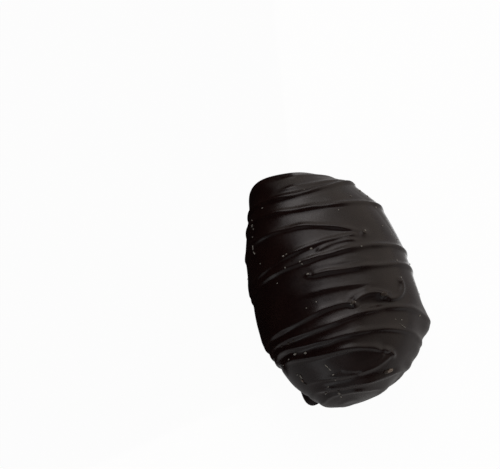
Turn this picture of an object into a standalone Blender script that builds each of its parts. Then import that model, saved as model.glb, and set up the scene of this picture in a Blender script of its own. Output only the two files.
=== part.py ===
"""Peanut butter egg: a soft oval centre dipped in dark chocolate and laced with strings of it.

The egg is one solid. It lies on the flat spot that the dipped piece sets on, with its length
along Y, its blunt end at +Y and its rounder end at -Y. The strings, nubs and pooled drops are
fused to the coat, so they are relief on the one closed surface.

Plan places are measured from the middle of the egg's widest contour, as the strings fell on it
from above. The finished egg is then centred over the origin.
"""

import math
from typing import NamedTuple

import bmesh
import bpy
import numpy as np
from mathutils import Matrix

MM = 0.001

# The dipped centre
HALF_WIDTH = 21.6 * MM
BLUNT_END = 34.5 * MM
ROUND_END = 28.0 * MM
WIDEST_AT = 10.0 * MM
DOME = 17.2 * MM
BELLY = 14.0 * MM
BLUNTNESS = 2.8
ROUNDNESS = 1.86
SECTION_SQUARENESS = 2.4
MEAN_HALF_LENGTH = 31.0 * MM
SKEW = -0.077
THREE_LOBES = 0.027
THREE_LOBES_TURNED = -0.017

# The mesh
RINGS = 114
SEGMENTS = 54
TOP_DENSITY = 0.3
RING_SPREAD = 0.35
RING_LEAN = 0.09
SHARP_EDGE = math.radians(50)
ON_TRAY = 2e-6

# The strings
SPAN = 20.0 * MM
OFF_SIDE = 40.0
BEAD = 0.95 * MM
STEEP = 0.8 * MM
LAP_SHARE = 0.42
TOE_SHARE = 0.15
TOE_WIDTH = 2.2
LEAST_SPREAD = 0.05
SWELL = 0.16
SWELL_LENGTH = 9.0 * MM
SWELL_STEP = 1.7
BLEND = 3.0
NUB_RADIUS = 1.8 * MM
FADE_FROM = 1.0 * MM
FADE_TO = 6.0 * MM
BASE_SHARE = 0.2
SIDE_SHARE = 0.5
SIDE_TILT = 0.6

# The coat's slow waves: how fast each turns along x and y, in turns of a radian a mm, and its start
COAT_WAVE = 0.22 * MM
LONG_WAVE = (0.21, 0.13, 0.4)
CROSS_WAVE = (-0.09, 0.16, 1.1)
SHORT_WAVE = (0.47, -0.31, 2.0)
SHORT_SHARE = 0.4

# The foot: how many bumps its waves have round the egg, where they start and their shares
FOOT_HEIGHT = 1.5 * MM
FOOT_SPREAD = 0.5 * MM
FOOT_WAVE = 0.3 * MM
FOOT_BUMPS = ((5, 0.6, 1.0), (9, 2.1, 0.6))

# The finish
DARK_BROWN = (0.016, 0.007, 0.006, 1.0)
ROUGHNESS = 0.3

COLLECTION = "peanut_butter_egg"


class String(NamedTuple):
    """A string across the egg: y = at + rise * t + bow * t**2 + sway * t**3, t = x / SPAN, in mm.

    It laps over the coat on its +Y side and is steep on its -Y side, where it slid to rest.
    """

    at: float
    rise: float
    bow: float
    left: float
    right: float
    height: float
    lap: float
    taper: float = 2.4
    sway: float = 0.0


class Arc(NamedTuple):
    """A string that turns: it starts and ends at two places and passes through a third, in mm."""

    start: tuple
    middle: tuple
    end: tuple
    height: float
    lap: float


class Drop(NamedTuple):
    """A rounded lump, or with a height below 0 a hollow: its place, half widths and height, in mm."""

    place: tuple
    half_widths: tuple
    height: float


STRINGS = (
    String(33.2, 1.5, -3.0, -14.0, 8.0, 0.30, 2.0, 7.0),
    String(29.6, 4.0, 0.5, -13.5, OFF_SIDE, 0.40, 1.4, 5.0),
    String(27.3, 6.1, 4.3, -OFF_SIDE, OFF_SIDE, 0.75, 1.6),
    String(21.2, 1.2, 1.3, -OFF_SIDE, OFF_SIDE, 0.62, 3.0, 2.4, 0.4),
    String(14.7, -3.6, -4.1, -OFF_SIDE, 9.6, 0.70, 2.6, 6.0),
    String(10.9, 4.0, -2.2, -OFF_SIDE, 7.6, 0.55, 1.8),
    String(9.8, 6.2, -15.4, -5.5, 7.4, 0.40, 0.9),
    String(7.1, 3.7, -0.6, -OFF_SIDE, OFF_SIDE, 0.66, 1.8),
    String(4.0, 2.4, -0.3, -6.5, 10.5, 0.20, 1.2),
    String(2.0, 1.5, 1.4, -7.6, OFF_SIDE, 0.68, 2.2),
    String(-2.4, 1.7, -1.1, -12.0, 11.0, 0.28, 2.0, 6.0),
    String(-6.9, 2.5, -10.9, -OFF_SIDE, 4.6, 0.60, 2.0, 2.4, -9.7),
    String(-7.4, 14.0, -9.2, 0.8, 9.2, 0.45, 1.0),
    String(-10.8, 5.2, 0.8, -OFF_SIDE, OFF_SIDE, 0.70, 1.6, 6.0, -2.4),
    String(-14.8, 3.1, 1.2, -OFF_SIDE, OFF_SIDE, 0.62, 1.9, 7.0, -2.7),
    String(-18.0, 2.3, -1.6, -15.5, 11.6, 0.64, 1.5, 3.5, -8.6),
    String(-23.8, 0.5, 3.5, -13.0, 5.5, 0.32, 1.6, 6.0),
    String(-25.7, 0.4, 7.3, -OFF_SIDE, OFF_SIDE, 0.68, 1.2),
    String(-26.7, -0.5, 7.0, -7.5, 11.0, 0.42, 0.8),
    String(-27.6, 0.2, 0.0, -4.5, 7.0, 0.30, 0.8),
)

ARCS = (
    Arc((3.7, -6.9), (8.0, -4.4), (12.0, -5.0), 0.90, 0.9),
    Arc((12.4, -5.6), (15.6, -4.6), (16.4, 0.2), 0.80, 0.7),
    Arc((10.4, -18.9), (7.9, -21.2), (-0.5, -22.5), 0.35, 2.0),
    Arc((12.6, -18.7), (8.9, -21.4), (3.6, -23.4), 0.45, 1.6),
)

NUBS = (
    Drop((8.6, 12.5), (1.3, 1.2), 0.45),
    Drop((-6.8, 1.7), (0.8, 0.5), 0.50),
    Drop((3.5, -7.0), (1.1, 0.8), 0.95),
    Drop((11.8, -4.9), (1.7, 1.0), 1.15),
    Drop((11.2, -18.2), (1.3, 0.6), 0.75),
    Drop((12.6, -18.8), (0.7, 0.7), 0.80),
)

HOLLOWS = (
    Drop((9.0, -7.0), (3.2, 1.2), -0.35),
    Drop((-14.1, -16.1), (1.9, 0.8), -0.50),
    Drop((5.0, -20.4), (5.5, 1.6), -0.25),
)

# Drops pooled on the side wall, with their place in space
POOLS = (
    Drop((23.6, -9.0, 9.5), (4.0, 2.9, 5.0), 2.9),
    Drop((22.5, -5.4, 10.0), (4.0, 2.2, 4.5), 0.8),
    Drop((18.0, -19.4, 10.0), (3.0, 1.4, 3.5), 0.9),
    Drop((10.2, -24.6, 10.0), (2.0, 1.6, 3.0), 0.5),
    Drop((18.5, -14.8, 10.0), (4.0, 3.5, 4.5), 1.5),
    Drop((-15.0, 31.0, 10.0), (5.0, 4.0, 8.0), 2.8),
    Drop((-5.0, -28.0, 9.0), (6.0, 3.5, 6.0), 1.5),
    Drop((-12.0, -23.0, 9.0), (5.0, 4.0, 6.0), 1.0),
    Drop((-20.5, 6.0, 7.0), (3.0, 2.4, 5.0), 0.6),
    Drop((-20.5, -9.5, 8.0), (3.0, 2.0, 4.5), 0.4),
)

# Lumps of the foot, where the coat ran out on the tray
FOOT_LUMPS = (
    Drop((-6.4, -19.3), (3.4, 3.4), 5.6),
    Drop((-17.0, 12.0), (5.0, 5.0), 0.7),
    Drop((12.0, 28.0), (5.0, 5.0), 0.6),
)


def clear_scene():
    """Removes the objects that the file opened with."""
    for thing in list(bpy.data.objects):
        bpy.data.objects.remove(thing, do_unlink=True)


def smooth_step(value):
    """0 below 0, 1 above 1, and a smooth rise between them."""
    value = np.clip(value, 0.0, 1.0)
    return value * value * (3.0 - 2.0 * value)


def plan_reach(points):
    """How far out in plan each point lies, where 1 is the widest contour."""
    x = np.abs(points[:, 0]) / HALF_WIDTH
    blunt = (x**BLUNTNESS + (np.abs(points[:, 1]) / BLUNT_END) ** BLUNTNESS) ** (1 / BLUNTNESS)
    round_ = (x**ROUNDNESS + (np.abs(points[:, 1]) / ROUND_END) ** ROUNDNESS) ** (1 / ROUNDNESS)
    return np.where(points[:, 1] > 0, blunt, round_)


def full_reach(points):
    """How far out each point lies, where 1 is the plain egg's surface."""
    height = np.abs(points[:, 2]) / np.where(points[:, 2] > 0, DOME, BELLY)
    return (plan_reach(points) ** SECTION_SQUARENESS + height**SECTION_SQUARENESS) ** (
        1 / SECTION_SQUARENESS
    )


def plan_unevenness(points):
    """The factor that skews the plan's outline, as hand rolling leaves it."""
    u = points[:, 0] / HALF_WIDTH
    v = points[:, 1] / MEAN_HALF_LENGTH
    theta = np.arctan2(v, u)
    share = np.minimum(np.hypot(u, v), 1.0) ** 2
    lobes = THREE_LOBES * np.cos(3 * theta) + THREE_LOBES_TURNED * np.sin(3 * theta)
    return 1 + share * (SKEW * np.sin(2 * theta) + lobes)


def plain_egg(directions):
    """Moves each point of a round ball onto the plain egg's surface."""
    points = directions * np.array([HALF_WIDTH, MEAN_HALF_LENGTH, DOME])
    points = points / full_reach(points)[:, None]
    points[:, :2] *= plan_unevenness(points)[:, None]
    points[:, 2] += WIDEST_AT
    return points


def string_profile(across, lap):
    """The share of a string's height beside its crest: it laps over the coat on its +Y side."""
    lapped = LAP_SHARE * np.exp(-((across / lap) ** 2))
    beaded = (1 - LAP_SHARE) * np.exp(-((across / BEAD) ** 2))
    dropped = (1 - TOE_SHARE) * np.exp(-((across / STEEP) ** 2))
    toe = TOE_SHARE * np.exp(-((across / (TOE_WIDTH * STEEP)) ** 2))
    return np.where(across > 0, lapped + beaded, dropped + toe)


def on_slope(distance, across_x, across_y, normals):
    """A distance in plan as it measures along the sloping surface."""
    tilt = across_x * normals[:, 0] + across_y * normals[:, 1]
    return distance / np.sqrt(np.maximum(1 - tilt * tilt, LEAST_SPREAD))


def string_relief(string, number, points, normals):
    """The height that one crossing string adds at each point."""
    t = points[:, 0] / SPAN
    line = (string.at + (string.rise + (string.bow + string.sway * t) * t) * t) * MM
    slope = (string.rise + (2 * string.bow + 3 * string.sway * t) * t) * MM / SPAN
    length = np.hypot(1.0, slope)
    across = on_slope((points[:, 1] - line) / length, -slope / length, 1 / length, normals)
    from_left = (points[:, 0] - string.left * MM) / (string.taper * MM)
    from_right = (string.right * MM - points[:, 0]) / (string.taper * MM)
    ends = smooth_step(from_left) * smooth_step(from_right)
    turns = points[:, 0] / SWELL_LENGTH * 2 * math.pi + SWELL_STEP * number
    swell = 1 + SWELL * np.sin(turns)
    return string.height * MM * ends * swell * string_profile(across, string.lap * MM)


def circle_through(start, middle, end):
    """The centre and radius of the circle through three places."""
    ax, ay = start
    bx, by = middle
    cx, cy = end
    twice = 2 * (ax * (by - cy) + bx * (cy - ay) + cx * (ay - by))
    a2, b2, c2 = ax * ax + ay * ay, bx * bx + by * by, cx * cx + cy * cy
    x = (a2 * (by - cy) + b2 * (cy - ay) + c2 * (ay - by)) / twice
    y = (a2 * (cx - bx) + b2 * (ax - cx) + c2 * (bx - ax)) / twice
    return x, y, math.hypot(ax - x, ay - y)


def arc_relief(arc, points, normals):
    """The height that one turning string adds at each point."""
    x, y, radius = circle_through(arc.start, arc.middle, arc.end)
    from_x = points[:, 0] - x * MM
    from_y = points[:, 1] - y * MM
    reach = np.hypot(from_x, from_y)
    bearing = np.arctan2(from_y, from_x)
    towards = math.atan2(arc.middle[1] - y, arc.middle[0] - x)
    ends = [math.atan2(place[1] - y, place[0] - x) - towards for place in (arc.start, arc.end)]
    ends = [(end + math.pi) % (2 * math.pi) - math.pi for end in ends]
    turn = (bearing - towards + math.pi) % (2 * math.pi) - math.pi
    past_low = (turn - min(ends)) * radius * MM
    past_high = (max(ends) - turn) * radius * MM
    inside = smooth_step(past_low / NUB_RADIUS + 0.5) * smooth_step(past_high / NUB_RADIUS + 0.5)
    across = (reach - radius * MM) * np.where(from_y >= 0, 1.0, -1.0)
    safe = np.maximum(reach, MM)
    flat = on_slope(across, from_x / safe, from_y / safe, normals)
    return arc.height * MM * inside * string_profile(flat, arc.lap * MM)


def drop_relief(drop, points):
    """The height of a rounded lump at each point, from its plan place or its place in space."""
    axes = len(drop.place)
    offset = (points[:, :axes] / MM - np.array(drop.place)) / np.array(drop.half_widths)
    return drop.height * MM * np.exp(-np.sum(offset * offset, axis=1))


def wave(points, rates):
    """A wave over the plan, from -1 to 1: its rates along x and y, in mm, and its start."""
    along_x, along_y, start = rates
    return np.sin(along_x * points[:, 0] / MM + along_y * points[:, 1] / MM + start)


def coat_waves(points):
    """Slow unevenness of the dipped coat."""
    slow = wave(points, LONG_WAVE) * wave(points, CROSS_WAVE)
    return COAT_WAVE * (slow + SHORT_SHARE * wave(points, SHORT_WAVE))


def relief(points, normals):
    """Everything that stands on the plain egg, as a height along its normal."""
    heights = [string_relief(s, i, points, normals) for i, s in enumerate(STRINGS)]
    heights += [arc_relief(arc, points, normals) for arc in ARCS]
    heights += [drop_relief(drop, points) for drop in NUBS]
    laced = np.sum(np.array(heights) ** BLEND, axis=0) ** (1 / BLEND)
    fade = smooth_step((points[:, 2] - FADE_FROM) / (FADE_TO - FADE_FROM))
    fade *= SIDE_SHARE + (1 - SIDE_SHARE) * smooth_step(normals[:, 2] / SIDE_TILT)
    laced *= BASE_SHARE + (1 - BASE_SHARE) * fade
    sunk = sum(drop_relief(drop, points) for drop in HOLLOWS)
    pooled = sum(drop_relief(drop, points) for drop in POOLS)
    return coat_waves(points) + laced + sunk + pooled


def foot_spread(points):
    """How far the foot runs outwards at each point."""
    low = np.exp(-((points[:, 2] / FOOT_HEIGHT) ** 2))
    bearing = np.arctan2(points[:, 1], points[:, 0])
    waves = sum(share * np.sin(bumps * bearing + start) for bumps, start, share in FOOT_BUMPS)
    lumps = sum(drop_relief(drop, points) for drop in FOOT_LUMPS)
    return low * (FOOT_SPREAD + FOOT_WAVE * waves + lumps)


def coordinates(bm):
    """The mesh's vertices as an array."""
    return np.array([v.co[:] for v in bm.verts])


def move_to(bm, points):
    """Puts the mesh's vertices at the rows of an array."""
    for vertex, point in zip(bm.verts, points):
        vertex.co = point
    bm.normal_update()


def ball_directions(bm):
    """Unit directions of a ball's vertices, its rings spread evenly along Y and leaning with the strings.

    More of them lie on top, where the strings are, than underneath.
    """
    ball = coordinates(bm)
    sine = np.clip(ball[:, 1], -1.0, 1.0)
    even = np.arcsin(sine) / (math.pi / 2)
    spread = (1 - RING_SPREAD) * sine + RING_SPREAD * even
    girth = np.sqrt(np.maximum(1 - spread * spread, 0.0))
    around = np.arctan2(ball[:, 0], ball[:, 2])
    around -= TOP_DENSITY * np.sin(around)
    directions = np.stack([np.sin(around) * girth, spread, np.cos(around) * girth], 1)
    directions[:, 1] += RING_LEAN * directions[:, 0]
    return directions / np.linalg.norm(directions, axis=1)[:, None]


def cut_flat(bm):
    """Cuts the egg off at the tray and closes it with one flat face."""
    geometry = list(bm.verts) + list(bm.edges) + list(bm.faces)
    cut = bmesh.ops.bisect_plane(
        bm, geom=geometry, dist=1e-6, plane_co=(0, 0, 0), plane_no=(0, 0, 1), clear_inner=True
    )
    rim = [piece for piece in cut["geom_cut"] if isinstance(piece, bmesh.types.BMEdge)]
    bmesh.ops.edgenet_fill(bm, edges=rim)
    for vertex in bm.verts:
        if abs(vertex.co.z) < ON_TRAY:
            vertex.co.z = 0.0


def egg_mesh():
    """The laced egg as one closed mesh, centred over the origin."""
    bm = bmesh.new()
    bmesh.ops.create_uvsphere(
        bm,
        u_segments=SEGMENTS,
        v_segments=RINGS,
        radius=1.0,
        matrix=Matrix.Rotation(math.radians(-90), 4, "X"),
    )
    move_to(bm, plain_egg(ball_directions(bm)))
    points = coordinates(bm)
    normals = np.array([v.normal[:] for v in bm.verts])
    move_to(bm, points + normals * relief(points, normals)[:, None])
    cut_flat(bm)
    points = coordinates(bm)
    outwards = points[:, :2] / np.maximum(np.hypot(points[:, 0], points[:, 1]), MM)[:, None]
    points[:, :2] += outwards * foot_spread(points)[:, None]
    points[:, :2] -= (points[:, :2].min(axis=0) + points[:, :2].max(axis=0)) / 2
    move_to(bm, points)
    bmesh.ops.recalc_face_normals(bm, faces=bm.faces)
    mesh = bpy.data.meshes.new("egg")
    bm.to_mesh(mesh)
    bm.free()
    mesh.shade_smooth()
    mesh.set_sharp_from_angle(angle=SHARP_EDGE)
    return mesh


def dark_chocolate():
    """Set dark chocolate: near black, warm, with a soft shine."""
    material = bpy.data.materials.new("dark_chocolate")
    material.use_nodes = True
    surface = material.node_tree.nodes["Principled BSDF"]
    surface.inputs["Base Color"].default_value = DARK_BROWN
    surface.inputs["Roughness"].default_value = ROUGHNESS
    surface.inputs["Metallic"].default_value = 0.0
    return material


def main():
    """Makes the egg."""
    clear_scene()
    collection = bpy.data.collections.new(COLLECTION)
    bpy.context.scene.collection.children.link(collection)
    mesh = egg_mesh()
    mesh.materials.append(dark_chocolate())
    collection.objects.link(bpy.data.objects.new("egg", mesh))


main()
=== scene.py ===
"""The looks of a peanut butter egg: its dark chocolate coat with the strings laid over it, the
peanut crumbs caught in the coat, and a plain studio.

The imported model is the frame. The coat is a finer mesh of the same egg, made from the same sizes
as the solid, and stands for it. Plan places are measured from the middle of the egg's widest
contour, as the strings fell on it from above.
"""

import logging
import math
import random
from dataclasses import dataclass, field
from enum import Enum

import bmesh
import bpy
import numpy as np
from mathutils import Matrix, Vector, noise
from mathutils.bvhtree import BVHTree


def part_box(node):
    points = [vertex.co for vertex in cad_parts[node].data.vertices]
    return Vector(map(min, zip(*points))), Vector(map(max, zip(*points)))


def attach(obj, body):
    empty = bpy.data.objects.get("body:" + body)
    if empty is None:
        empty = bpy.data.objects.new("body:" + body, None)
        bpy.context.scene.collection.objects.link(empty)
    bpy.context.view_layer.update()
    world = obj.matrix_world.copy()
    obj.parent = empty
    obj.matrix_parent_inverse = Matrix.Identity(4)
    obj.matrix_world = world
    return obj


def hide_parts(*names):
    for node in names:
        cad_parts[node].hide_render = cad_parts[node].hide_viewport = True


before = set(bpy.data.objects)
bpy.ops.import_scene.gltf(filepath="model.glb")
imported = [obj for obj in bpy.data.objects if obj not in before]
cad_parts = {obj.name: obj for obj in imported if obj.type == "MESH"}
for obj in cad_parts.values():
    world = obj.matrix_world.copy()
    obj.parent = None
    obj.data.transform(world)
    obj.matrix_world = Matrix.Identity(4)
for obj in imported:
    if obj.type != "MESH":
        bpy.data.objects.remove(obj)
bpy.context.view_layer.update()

MM = 0.001
OFF_SIDE = 40.0
FRAME_WIDTH = 500
FRAME_HEIGHT = 469
WHITE = (1.0, 1.0, 1.0, 1.0)
UP = Vector((0, 0, 1))
HALF_TURN = 180.0
TOUCHING = 1e-6
MIX_COLOUR_A, MIX_COLOUR_B, MIX_COLOUR_RESULT = 6, 7, 2
LOG = logging.getLogger("peanut_butter_egg")

Colour = tuple[float, float, float]
Direction = tuple[float, float, float]
Place = tuple[float, float]
Limits = tuple[float, float]
Groups = dict[str, bpy.types.NodeTree]


def smooth_step(value: np.ndarray) -> np.ndarray:
    """Rises smoothly from 0 to 1.

    Args:
        value: Where on the rise each point is, from 0 to 1.

    Returns:
        The risen values, 0 below the rise and 1 above it.
    """
    value = np.clip(value, 0.0, 1.0)
    return value * value * (3.0 - 2.0 * value)


def drift(points: np.ndarray, scale: float, shift: float = 0.0, layers: int = 2) -> np.ndarray:
    """Smooth unevenness in space.

    Args:
        points: Places in metres, one a row.
        scale: The size of the unevenness in metres.
        shift: Moves the pattern, so that two uses differ.
        layers: How many layers of finer unevenness it has.

    Returns:
        One value for each place, from about -1 to 1.
    """
    total = np.zeros(len(points))
    for layer in range(layers):
        fine = 2.0**layer
        places = points * (fine / scale) + shift * (layer + 1)
        total += np.array([noise.noise(Vector(place)) for place in places]) / fine
    return total


@dataclass(frozen=True)
class CrossingString:
    """A string across the egg: y = at + rise * t + bow * t**2 + sway * t**3, t = x / 20 mm, in mm.

    It runs from left to right, and its ends thin out over the taper. It laps over the coat on its
    +Y side.
    """

    at: float
    rise: float
    bow: float
    left: float
    right: float
    height: float
    lap: float = 3.0
    taper: float = 2.4
    sway: float = 0.0


@dataclass(frozen=True)
class TurningString:
    """A string that turns: an arc from its start through its middle to its end, in mm."""

    start: Place
    middle: Place
    end: Place
    height: float
    lap: float = 1.6


@dataclass(frozen=True)
class Lump:
    """A rounded lump, or with a height below 0 a hollow: place, half widths and height, in mm."""

    place: tuple[float, ...]
    half_widths: tuple[float, ...]
    height: float

    def relief(self, points: np.ndarray) -> np.ndarray:
        """How high the lump stands.

        Args:
            points: Places in metres, one a row.

        Returns:
            The height at each point, in metres.
        """
        axes = len(self.place)
        offset = (points[:, :axes] / MM - np.array(self.place)) / np.array(self.half_widths)
        return self.height * MM * np.exp(-np.sum(offset * offset, axis=1))


@dataclass
class Centre:
    """The plain dipped egg under the strings: an oval, blunt at one end, with a squarish section."""

    half_width: float = 21.6 * MM
    blunt_end: float = 34.5 * MM
    round_end: float = 28.0 * MM
    widest_at: float = 10.0 * MM
    dome: float = 17.2 * MM
    belly: float = 14.0 * MM
    bluntness: float = 2.8
    roundness: float = 1.86
    squareness: float = 2.4
    mean_half_length: float = 31.0 * MM
    skew: float = -0.077
    three_lobes: float = 0.027
    three_lobes_turned: float = -0.017

    def plan_reach(self, points: np.ndarray) -> np.ndarray:
        """How far out in plan each point lies.

        Args:
            points: Places from the middle of the widest contour, in metres.

        Returns:
            The reach of each point, 1 on the widest contour.
        """
        x = np.abs(points[:, 0]) / self.half_width
        y = np.abs(points[:, 1])
        blunt = (x**self.bluntness + (y / self.blunt_end) ** self.bluntness) ** (1 / self.bluntness)
        ball = (x**self.roundness + (y / self.round_end) ** self.roundness) ** (1 / self.roundness)
        return np.where(points[:, 1] > 0, blunt, ball)

    def full_reach(self, points: np.ndarray) -> np.ndarray:
        """How far out each point lies.

        Args:
            points: Places from the middle of the widest contour, in metres.

        Returns:
            The reach of each point, 1 on the plain egg's surface.
        """
        height = np.abs(points[:, 2]) / np.where(points[:, 2] > 0, self.dome, self.belly)
        both = self.plan_reach(points) ** self.squareness + height**self.squareness
        return both ** (1 / self.squareness)

    def unevenness(self, points: np.ndarray) -> np.ndarray:
        """The factor that skews the plan's outline, as hand rolling leaves it.

        Args:
            points: Places from the middle of the widest contour, in metres.

        Returns:
            The factor at each point.
        """
        u = points[:, 0] / self.half_width
        v = points[:, 1] / self.mean_half_length
        theta = np.arctan2(v, u)
        share = np.minimum(np.hypot(u, v), 1.0) ** 2
        lobes = self.three_lobes * np.cos(3 * theta) + self.three_lobes_turned * np.sin(3 * theta)
        return 1 + share * (self.skew * np.sin(2 * theta) + lobes)

    def surface(self, directions: np.ndarray) -> np.ndarray:
        """Moves each point of a round ball onto the plain egg.

        Args:
            directions: Unit directions, one a row.

        Returns:
            Their places on the egg, in metres above the tray.
        """
        points = directions * np.array([self.half_width, self.mean_half_length, self.dome])
        points = points / self.full_reach(points)[:, None]
        points[:, :2] *= self.unevenness(points)[:, None]
        points[:, 2] += self.widest_at
        return points


@dataclass
class Lacing:
    """The strings of chocolate over the coat, with the nubs where they end and the pooled drops."""

    span: float = 20.0 * MM
    bead: float = 0.75 * MM
    steep: float = 0.65 * MM
    lap_share: float = 0.42
    toe_share: float = 0.15
    toe_width: float = 2.2
    least_spread: float = 0.05
    swell: float = 0.16
    swell_length: float = 9.0 * MM
    swell_step: float = 1.7
    blend: float = 3.0
    nub_radius: float = 1.8 * MM
    nub_lead: float = 0.5
    fade_from: float = 1.0 * MM
    fade_to: float = 6.0 * MM
    base_share: float = 0.2
    side_share: float = 0.5
    side_tilt: float = 0.6
    wander: float = 0.18 * MM
    wander_length: float = 6.0 * MM
    wander_shift: float = 3.1
    strings: tuple[CrossingString, ...] = (
        CrossingString(33.2, 1.5, -3.0, -14.0, 8.0, 0.30, 2.0, 7.0),
        CrossingString(29.6, 4.0, 0.5, -13.5, OFF_SIDE, 0.40, 1.4, 5.0),
        CrossingString(27.3, 6.1, 4.3, -OFF_SIDE, OFF_SIDE, 0.75, 1.6),
        CrossingString(21.2, 1.2, 1.3, -OFF_SIDE, OFF_SIDE, 0.62, 3.0, 2.4, 0.4),
        CrossingString(14.7, -3.6, -4.1, -OFF_SIDE, 9.6, 0.70, 2.6, 6.0),
        CrossingString(10.9, 4.0, -2.2, -OFF_SIDE, 7.6, 0.55, 1.8),
        CrossingString(9.8, 6.2, -15.4, -5.5, 7.4, 0.40, 0.9),
        CrossingString(7.1, 3.7, -0.6, -OFF_SIDE, OFF_SIDE, 0.66, 1.8),
        CrossingString(4.0, 2.4, -0.3, -6.5, 10.5, 0.20, 1.2),
        CrossingString(2.0, 1.5, 1.4, -7.6, OFF_SIDE, 0.68, 2.2),
        CrossingString(-2.4, 1.7, -1.1, -12.0, 11.0, 0.28, 2.0, 6.0),
        CrossingString(-6.9, 2.5, -10.9, -OFF_SIDE, 4.6, 0.60, 2.0, 2.4, -9.7),
        CrossingString(-7.4, 14.0, -9.2, 0.8, 9.2, 0.45, 1.0),
        CrossingString(-10.8, 5.2, 0.8, -OFF_SIDE, OFF_SIDE, 0.70, 1.6, 6.0, -2.4),
        CrossingString(-14.8, 3.1, 1.2, -OFF_SIDE, OFF_SIDE, 0.62, 1.9, 7.0, -2.7),
        CrossingString(-18.0, 2.3, -1.6, -15.5, 11.6, 0.64, 1.5, 3.5, -8.6),
        CrossingString(-23.8, 0.5, 3.5, -13.0, 5.5, 0.32, 1.6, 6.0),
        CrossingString(-25.7, 0.4, 7.3, -OFF_SIDE, OFF_SIDE, 0.68, 1.2),
        CrossingString(-26.7, -0.5, 7.0, -7.5, 11.0, 0.42, 0.8),
        CrossingString(-27.6, 0.2, 0.0, -4.5, 7.0, 0.30, 0.8),
    )
    turns: tuple[TurningString, ...] = (
        TurningString((3.7, -6.9), (8.0, -4.4), (12.0, -5.0), 0.90, 0.9),
        TurningString((12.4, -5.6), (15.6, -4.6), (16.4, 0.2), 0.80, 0.7),
        TurningString((10.4, -18.9), (7.9, -21.2), (-0.5, -22.5), 0.35, 2.0),
        TurningString((12.6, -18.7), (8.9, -21.4), (3.6, -23.4), 0.45),
    )
    nubs: tuple[Lump, ...] = (
        Lump((8.6, 12.5), (1.3, 1.2), 0.45),
        Lump((-6.8, 1.7), (0.8, 0.5), 0.50),
        Lump((3.5, -7.0), (1.1, 0.8), 0.95),
        Lump((11.8, -4.9), (1.7, 1.0), 1.15),
        Lump((11.2, -18.2), (1.3, 0.6), 0.75),
        Lump((12.6, -18.8), (0.7, 0.7), 0.80),
    )
    hollows: tuple[Lump, ...] = (
        Lump((9.0, -7.0), (3.2, 1.2), -0.35),
        Lump((-14.1, -16.1), (1.9, 0.8), -0.50),
        Lump((5.0, -20.4), (5.5, 1.6), -0.25),
    )
    pools: tuple[Lump, ...] = (
        Lump((23.6, -9.0, 9.5), (4.0, 2.9, 5.0), 2.9),
        Lump((22.5, -5.4, 10.0), (4.0, 2.2, 4.5), 0.8),
        Lump((18.0, -19.4, 10.0), (3.0, 1.4, 3.5), 0.9),
        Lump((10.2, -24.6, 10.0), (2.0, 1.6, 3.0), 0.5),
        Lump((18.5, -14.8, 10.0), (4.0, 3.5, 4.5), 1.5),
        Lump((-15.0, 31.0, 10.0), (5.0, 4.0, 8.0), 2.8),
        Lump((-5.0, -28.0, 9.0), (6.0, 3.5, 6.0), 1.5),
        Lump((-12.0, -23.0, 9.0), (5.0, 4.0, 6.0), 1.0),
        Lump((-20.5, 6.0, 7.0), (3.0, 2.4, 5.0), 0.6),
        Lump((-20.5, -9.5, 8.0), (3.0, 2.0, 4.5), 0.4),
    )

    def profile(self, across: np.ndarray, lap: float) -> np.ndarray:
        """The share of a string's height beside its crest.

        Args:
            across: Distance from the crest in metres, above 0 on the +Y side.
            lap: How far the string laps over the coat on its +Y side, in metres.

        Returns:
            1 on the crest, falling to 0 away from it, steeply on the -Y side.
        """
        lapped = self.lap_share * np.exp(-((across / lap) ** 2))
        beaded = (1 - self.lap_share) * np.exp(-((across / self.bead) ** 2))
        dropped = (1 - self.toe_share) * np.exp(-((across / self.steep) ** 2))
        toe = self.toe_share * np.exp(-((across / (self.toe_width * self.steep)) ** 2))
        return np.where(across > 0, lapped + beaded, dropped + toe)

    def on_slope(
        self, distance: np.ndarray, across_x: np.ndarray, across_y: np.ndarray, normals: np.ndarray
    ) -> np.ndarray:
        """A distance in plan as it measures along the sloping surface.

        Args:
            distance: The distance in plan, in metres.
            across_x: The X part of the unit direction that it is measured in.
            across_y: The Y part of that direction.
            normals: The plain egg's unit normals.

        Returns:
            The distance along the surface, in metres.
        """
        tilt = across_x * normals[:, 0] + across_y * normals[:, 1]
        return distance / np.sqrt(np.maximum(1 - tilt * tilt, self.least_spread))

    def crossing(
        self, number: int, string: CrossingString, points: np.ndarray, normals: np.ndarray
    ) -> np.ndarray:
        """The height that one crossing string adds.

        Args:
            number: Its number, which makes its swelling its own.
            string: The string.
            points: Places on the plain egg, in metres.
            normals: The plain egg's unit normals.

        Returns:
            The height at each point, in metres.
        """
        t = points[:, 0] / self.span
        line = (string.at + (string.rise + (string.bow + string.sway * t) * t) * t) * MM
        slope = (string.rise + (2 * string.bow + 3 * string.sway * t) * t) * MM / self.span
        length = np.hypot(1.0, slope)
        across = (points[:, 1] - line) / length
        across = self.on_slope(across, -slope / length, 1 / length, normals)
        from_left = (points[:, 0] - string.left * MM) / (string.taper * MM)
        from_right = (string.right * MM - points[:, 0]) / (string.taper * MM)
        ends = smooth_step(from_left) * smooth_step(from_right)
        turns = points[:, 0] / self.swell_length * 2 * math.pi + self.swell_step * number
        swell = 1 + self.swell * np.sin(turns)
        return string.height * MM * ends * swell * self.profile(across, string.lap * MM)

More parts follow.
